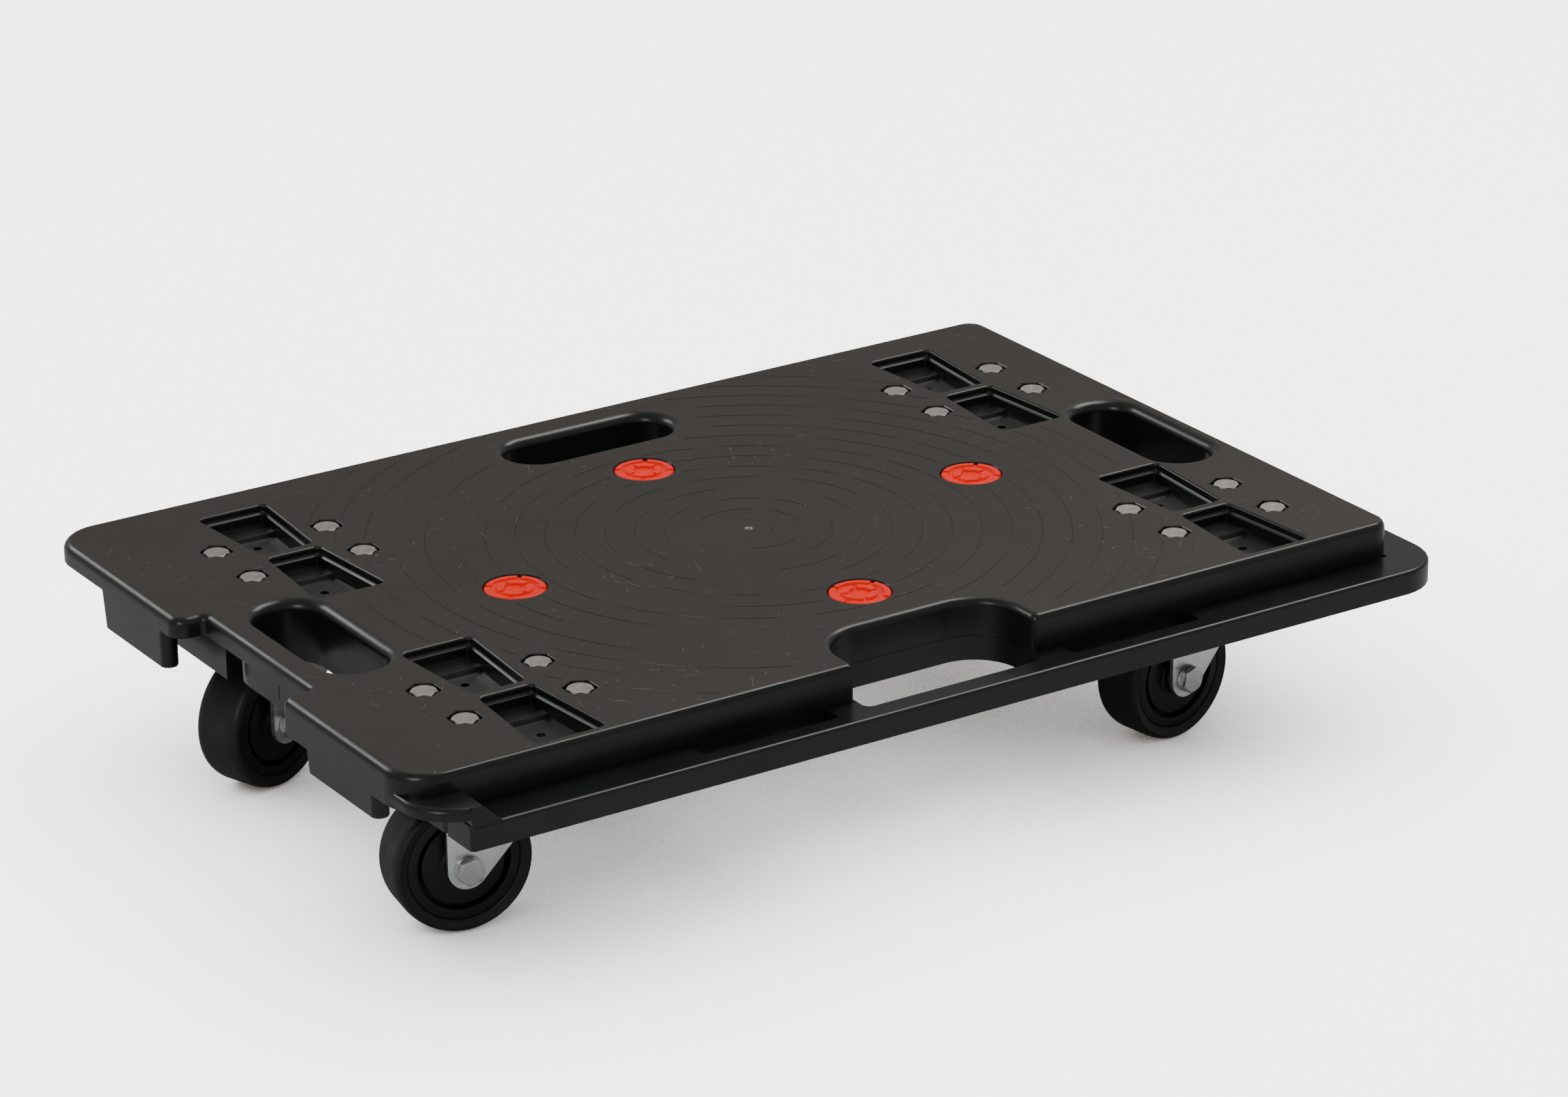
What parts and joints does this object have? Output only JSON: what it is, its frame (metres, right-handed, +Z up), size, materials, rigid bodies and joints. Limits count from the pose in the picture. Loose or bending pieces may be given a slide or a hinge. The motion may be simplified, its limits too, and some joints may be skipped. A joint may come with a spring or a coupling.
{
  "type": "platform trolley",
  "caption": "Low linkable platform trolley: moulded black plastic deck with hand holes, link lugs and slots, on swivel castors; no handle.",
  "frame": {"origin": "on the floor, below the centre of the deck's overall length and width", "axes": "+X along the deck's length towards the ledge on the right side, +Y across it towards the back lip, +Z up"},
  "size_m": [0.634, 0.42, 0.1244],
  "materials": {
    "deck_plastic": "injection-moulded polypropylene, fine matte grain on the load face, semi-gloss sides",
    "cap_plastic": "red-orange moulded plugs, satin",
    "zinc_plate": "bright zinc-plated pressed steel",
    "tyre_rubber": "black elastomer tread, satin",
    "wheel_plastic": "black moulded wheel centre, satin"
  },
  "bodies": {
    "deck_frame": {"deck": "deck_plastic", "cap_left": "cap_plastic", "cap_right": "cap_plastic", "cap_front": "cap_plastic", "cap_back": "cap_plastic", "front_left_plate": "zinc_plate", "front_left_ball_race": "zinc_plate", "front_left_king_pin": "zinc_plate", "front_left_deck_bolt_1": "zinc_plate", "front_left_deck_bolt_2": "zinc_plate", "front_left_deck_bolt_3": "zinc_plate", "front_left_deck_bolt_4": "zinc_plate", "front_right_plate": "zinc_plate", "front_right_ball_race": "zinc_plate", "front_right_king_pin": "zinc_plate", "front_right_deck_bolt_1": "zinc_plate", "front_right_deck_bolt_2": "zinc_plate", "front_right_deck_bolt_3": "zinc_plate", "front_right_deck_bolt_4": "zinc_plate", "back_left_plate": "zinc_plate", "back_left_ball_race": "zinc_plate", "back_left_king_pin": "zinc_plate", "back_left_deck_bolt_1": "zinc_plate", "back_left_deck_bolt_2": "zinc_plate", "back_left_deck_bolt_3": "zinc_plate", "back_left_deck_bolt_4": "zinc_plate", "back_right_plate": "zinc_plate", "back_right_ball_race": "zinc_plate", "back_right_king_pin": "zinc_plate", "back_right_deck_bolt_1": "zinc_plate", "back_right_deck_bolt_2": "zinc_plate", "back_right_deck_bolt_3": "zinc_plate", "back_right_deck_bolt_4": "zinc_plate"},
    "front_left_fork_body": {"front_left_fork": "zinc_plate", "front_left_axle_sleeve": "zinc_plate", "front_left_axle_bolt": "zinc_plate", "front_left_axle_nut": "zinc_plate"},
    "front_left_wheel": {"front_left_tyre": "tyre_rubber", "front_left_wheel_core": "wheel_plastic"},
    "front_right_fork_body": {"front_right_fork": "zinc_plate", "front_right_axle_sleeve": "zinc_plate", "front_right_axle_bolt": "zinc_plate", "front_right_axle_nut": "zinc_plate"},
    "front_right_wheel": {"front_right_tyre": "tyre_rubber", "front_right_wheel_core": "wheel_plastic"},
    "back_left_fork_body": {"back_left_fork": "zinc_plate", "back_left_axle_sleeve": "zinc_plate", "back_left_axle_bolt": "zinc_plate", "back_left_axle_nut": "zinc_plate"},
    "back_left_wheel": {"back_left_tyre": "tyre_rubber", "back_left_wheel_core": "wheel_plastic"},
    "back_right_fork_body": {"back_right_fork": "zinc_plate", "back_right_axle_sleeve": "zinc_plate", "back_right_axle_bolt": "zinc_plate", "back_right_axle_nut": "zinc_plate"},
    "back_right_wheel": {"back_right_tyre": "tyre_rubber", "back_right_wheel_core": "wheel_plastic"}
  },
  "joints": [
    {"name": "front_left_swivel", "type": "hinge", "parent": "deck_frame", "child": "front_left_fork_body", "pos_m": [-0.22, -0.113, 0.09], "axis": [0, 0, 1], "continuous": true},
    {"name": "front_left_wheel_spin", "type": "hinge", "parent": "front_left_fork_body", "child": "front_left_wheel", "pos_m": [-0.24764, -0.10852, 0.0375], "axis": [0.1599, 0.9871, 0], "continuous": true},
    {"name": "front_right_swivel", "type": "hinge", "parent": "deck_frame", "child": "front_right_fork_body", "pos_m": [0.22, -0.113, 0.09], "axis": [0, 0, 1], "continuous": true},
    {"name": "front_right_wheel_spin", "type": "hinge", "parent": "front_right_fork_body", "child": "front_right_wheel", "pos_m": [0.19233, -0.11728, 0.0375], "axis": [-0.153, 0.9882, 0], "continuous": true},
    {"name": "back_left_swivel", "type": "hinge", "parent": "deck_frame", "child": "back_left_fork_body", "pos_m": [-0.22, 0.113, 0.09], "axis": [0, 0, 1], "continuous": true},
    {"name": "back_left_wheel_spin", "type": "hinge", "parent": "back_left_fork_body", "child": "back_left_wheel", "pos_m": [-0.24631, 0.10342, 0.0375], "axis": [-0.342, 0.9397, 0], "continuous": true},
    {"name": "back_right_swivel", "type": "hinge", "parent": "deck_frame", "child": "back_right_fork_body", "pos_m": [0.22, 0.113, 0.09], "axis": [0, 0, 1], "continuous": true},
    {"name": "back_right_wheel_spin", "type": "hinge", "parent": "back_right_fork_body", "child": "back_right_wheel", "pos_m": [0.19207, 0.11495, 0.0375], "axis": [0.0698, 0.9976, 0], "continuous": true}
  ]
}
